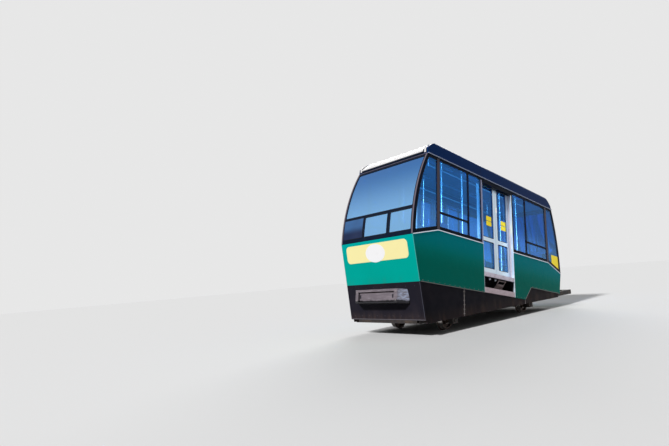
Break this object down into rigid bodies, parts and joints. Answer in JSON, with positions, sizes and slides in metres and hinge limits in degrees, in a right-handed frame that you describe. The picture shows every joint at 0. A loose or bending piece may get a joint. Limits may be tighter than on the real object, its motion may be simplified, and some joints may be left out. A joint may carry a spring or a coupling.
{
  "type": "funicular car",
  "caption": "Inclined-track passenger car with a level glazed cabin on a wedge-shaped skirted chassis, sliding twin-leaf doors on both sides and flanged wheelsets.",
  "frame": {"origin": "under the middle of the overall length and width, on the plane of the wheel flange feet", "axes": "+X uphill along the track, +Z square to the rails, cabin level only when the track climbs 9.8 degrees"},
  "size_m": [7.4466, 2.044, 3.8882],
  "materials": {
    "green_paint": "gloss",
    "navy_paint": "gloss",
    "black_paint": "satin",
    "roof_white": "satin",
    "dark_frame": "satin",
    "trim_metal": "satin",
    "bare_aluminium": "brushed",
    "sill_grey": "worn",
    "bumper_grey": "worn",
    "tinted_glass": "tinted",
    "chassis_paint": "dusty",
    "wheel_steel": "worn treads",
    "pole_steel": "polished",
    "bench_plastic": "moulded",
    "desk_plastic": "moulded",
    "floor": "studded"
  },
  "bodies": {
    "car": {"apron_front": "black_paint", "axle_boxes": "chassis_paint", "benches": "bench_plastic", "body_posts": "chassis_paint", "bumper": "bumper_grey", "cant_panels": "navy_paint", "cross_members": "chassis_paint", "door_headers": "dark_frame", "door_jambs": "bare_aluminium", "door_sills": "sill_grey", "door_tracks": "bare_aluminium", "drip_rails": "trim_metal", "driver_desks": "desk_plastic", "end_frame_front": "dark_frame", "end_frame_rear": "dark_frame", "end_glass": "tinted_glass", "end_panel_front": "green_paint", "end_panel_rear": "green_paint", "floor": "floor", "frame_beams": "chassis_paint", "roof_caps": "roof_white", "roof_skin": "roof_white", "rope_anchor": "chassis_paint", "side_glass": "tinted_glass", "side_panels_front": "green_paint", "side_panels_rear": "green_paint", "skirts": "black_paint", "stanchions": "pole_steel", "step_bars": "sill_grey", "step_wells": "black_paint", "steps": "bumper_grey", "window_frames_front": "dark_frame", "window_frames_rear": "dark_frame"},
    "wheelset_front": {"axle_front": "wheel_steel", "wheels_front": "wheel_steel"},
    "wheelset_rear": {"axle_rear": "wheel_steel", "wheels_rear": "wheel_steel"},
    "leaf_left_front": {"door_left_front": "bare_aluminium", "door_glass_left_front": "tinted_glass"},
    "leaf_left_rear": {"door_left_rear": "bare_aluminium", "door_glass_left_rear": "tinted_glass"},
    "leaf_right_front": {"door_right_front": "bare_aluminium", "door_glass_right_front": "tinted_glass"},
    "leaf_right_rear": {"door_right_rear": "bare_aluminium", "door_glass_right_rear": "tinted_glass"}
  },
  "joints": [
    {"name": "wheelset_front_turn", "type": "hinge", "parent": "car", "child": "wheelset_front", "pos_m": [-2.377, 0, 0.202], "axis": [0, 1, 0], "continuous": true},
    {"name": "wheelset_rear_turn", "type": "hinge", "parent": "car", "child": "wheelset_rear", "pos_m": [0.923, 0, 0.202], "axis": [0, 1, 0], "continuous": true},
    {"name": "door_left_front_slide", "type": "slide", "parent": "car", "child": "leaf_left_front", "axis": [-0.9854, 0, 0.1702], "range_m": [0, 0.6]},
    {"name": "door_left_rear_slide", "type": "slide", "parent": "car", "child": "leaf_left_rear", "axis": [0.9854, 0, -0.1702], "range_m": [0, 0.6]},
    {"name": "door_right_front_slide", "type": "slide", "parent": "car", "child": "leaf_right_front", "axis": [-0.9854, 0, 0.1702], "range_m": [0, 0.6]},
    {"name": "door_right_rear_slide", "type": "slide", "parent": "car", "child": "leaf_right_rear", "axis": [0.9854, 0, -0.1702], "range_m": [0, 0.6]}
  ],
  "couplings": [
    {"joint": "door_left_rear_slide", "follows": "door_left_front_slide", "ratio": 1},
    {"joint": "door_right_rear_slide", "follows": "door_right_front_slide", "ratio": 1}
  ]
}
